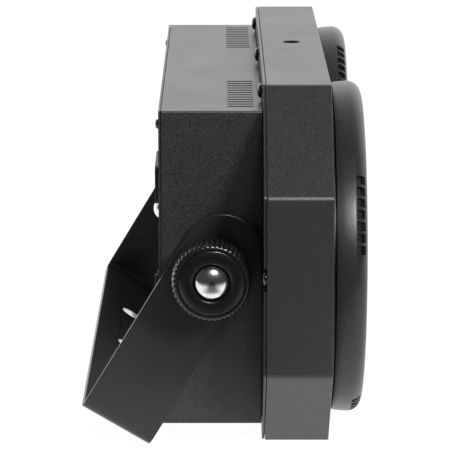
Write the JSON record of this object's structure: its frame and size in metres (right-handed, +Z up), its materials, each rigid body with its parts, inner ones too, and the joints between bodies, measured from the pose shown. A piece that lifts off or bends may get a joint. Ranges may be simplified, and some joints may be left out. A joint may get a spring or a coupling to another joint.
{
  "type": "audience blinder light",
  "caption": "Twin-lamp stage blinder: an eight-sided vented steel housing with round ringed lamps in front, an electronics box behind, and a tilting yoke held by hand knobs.",
  "frame": {"origin": "centre of the whole part's bounding box in X and Y, on the plane it stands on", "axes": "+X along the long side, +Y out of the rear panel (the lamps face -Y), +Z up"},
  "size_m": [0.4294, 0.1656, 0.214],
  "materials": {
    "powder_coat": "fine-textured black powder coat",
    "satin_paint": "satin black paint",
    "ring_plastic": "matt black moulding",
    "knob_plastic": "satin black moulding",
    "black_plastic": "matt black moulding",
    "chrome": "polished",
    "black_screw": "blackened screw steel",
    "zinc_steel": "zinc plated",
    "cooler_alloy": "plain extruded",
    "reflector": "spun and polished",
    "lens_glass": "clear",
    "phosphor": "yellow phosphor over a pale board",
    "circuit_board": "green solder mask",
    "washer_rubber": "matt",
    "display": "dark blue window",
    "socket_metal": "dark nickel"
  },
  "bodies": {
    "lamp_head": {"front_housing": "powder_coat", "rear_plate": "powder_coat", "rear_housing": "powder_coat", "rear_panel": "powder_coat", "power_supply": "cooler_alloy", "driver_board": "circuit_board", "control_board": "circuit_board", "display_window": "display", "data_in": "socket_metal", "data_out": "socket_metal", "power_inlet": "black_plastic", "fuse_holder": "black_plastic", "safety_bolt": "chrome", "frame_screw_top_left": "black_screw", "frame_screw_top_middle": "black_screw", "frame_screw_top_right": "black_screw", "frame_screw_bottom_left": "black_screw", "frame_screw_bottom_middle": "black_screw", "frame_screw_bottom_right": "black_screw", "frame_screw_side_left": "black_screw", "panel_screw_top_left": "black_screw", "panel_screw_bottom_left": "black_screw", "frame_screw_side_right": "black_screw", "panel_screw_top_right": "black_screw", "panel_screw_bottom_right": "black_screw", "ring_base_left": "ring_plastic", "ring_base_right": "ring_plastic", "bezel_ring_left": "ring_plastic", "bezel_ring_right": "ring_plastic", "lens_left": "lens_glass", "lens_right": "lens_glass", "reflector_left": "reflector", "reflector_right": "reflector", "led_module_left": "phosphor", "led_module_right": "phosphor", "led_holder_left": "black_plastic", "led_holder_right": "black_plastic", "cooler_left": "cooler_alloy", "cooler_right": "cooler_alloy", "fan_frame_left": "black_plastic", "fan_frame_right": "black_plastic", "friction_washer_left": "washer_rubber", "friction_washer_right": "washer_rubber", "pivot_boss_left": "zinc_steel", "pivot_boss_right": "zinc_steel"},
    "yoke": {"yoke": "satin_paint"},
    "knob_washer_left": {"knob_washer_left": "zinc_steel"},
    "knob_left": {"knob_left": "knob_plastic", "knob_cap_left": "chrome"},
    "knob_washer_right": {"knob_washer_right": "zinc_steel"},
    "knob_right": {"knob_right": "knob_plastic", "knob_cap_right": "chrome"},
    "menu_button_1": {"menu_button_1": "black_plastic"},
    "menu_button_2": {"menu_button_2": "black_plastic"},
    "menu_button_3": {"menu_button_3": "black_plastic"},
    "menu_button_4": {"menu_button_4": "black_plastic"},
    "data_latch": {"data_latch": "zinc_steel"},
    "fan_rotor_left": {"fan_rotor_left": "black_plastic"},
    "fan_rotor_right": {"fan_rotor_right": "black_plastic"},
    "fuse_cap": {"fuse_cap": "black_plastic"}
  },
  "joints": [
    {"name": "yoke_tilt", "type": "hinge", "parent": "lamp_head", "child": "yoke", "pos_m": [0, 0.00596, 0.107], "axis": [1, 0, 0], "range_deg": [-34, 0]},
    {"name": "knob_left_lift", "type": "slide", "parent": "lamp_head", "child": "knob_washer_left", "axis": [-1, 0, 0], "range_m": [0, 0.00125]},
    {"name": "knob_left_turn", "type": "hinge", "parent": "knob_washer_left", "child": "knob_left", "pos_m": [-0.19, 0.00596, 0.107], "axis": [-1, 0, 0], "range_deg": [0, 360]},
    {"name": "knob_right_lift", "type": "slide", "parent": "lamp_head", "child": "knob_washer_right", "axis": [1, 0, 0], "range_m": [0, 0.00125]},
    {"name": "knob_right_turn", "type": "hinge", "parent": "knob_washer_right", "child": "knob_right", "pos_m": [0.19, 0.00596, 0.107], "axis": [1, 0, 0], "range_deg": [0, 360]},
    {"name": "menu_button_1_press", "type": "slide", "parent": "lamp_head", "child": "menu_button_1", "axis": [0, -1, 0], "range_m": [0, 0.0008], "stiffness_N_per_m": 500, "springref_m": -0.0006},
    {"name": "menu_button_2_press", "type": "slide", "parent": "lamp_head", "child": "menu_button_2", "axis": [0, -1, 0], "range_m": [0, 0.0008], "stiffness_N_per_m": 500, "springref_m": -0.0006},
    {"name": "menu_button_3_press", "type": "slide", "parent": "lamp_head", "child": "menu_button_3", "axis": [0, -1, 0], "range_m": [0, 0.0008], "stiffness_N_per_m": 500, "springref_m": -0.0006},
    {"name": "menu_button_4_press", "type": "slide", "parent": "lamp_head", "child": "menu_button_4", "axis": [0, -1, 0], "range_m": [0, 0.0008], "stiffness_N_per_m": 500, "springref_m": -0.0006},
    {"name": "data_latch_press", "type": "slide", "parent": "lamp_head", "child": "data_latch", "axis": [0, -1, 0], "range_m": [0, 0.0012], "stiffness_N_per_m": 400, "springref_m": -0.0008},
    {"name": "fan_left_spin", "type": "hinge", "parent": "lamp_head", "child": "fan_rotor_left", "pos_m": [-0.105, 0.01286, 0.107], "axis": [0, 1, 0], "continuous": true},
    {"name": "fan_right_spin", "type": "hinge", "parent": "lamp_head", "child": "fan_rotor_right", "pos_m": [0.105, 0.01286, 0.107], "axis": [0, 1, 0], "continuous": true},
    {"name": "fuse_cap_turn", "type": "hinge", "parent": "lamp_head", "child": "fuse_cap", "pos_m": [-0.149, 0.03876, 0.0934], "axis": [0, 1, 0], "range_deg": [0, 90]}
  ],
  "couplings": [
    {"joint": "knob_left_turn", "follows": "knob_left_lift", "rad_per_m": 5026.5},
    {"joint": "knob_right_turn", "follows": "knob_right_lift", "rad_per_m": 5026.5}
  ]
}
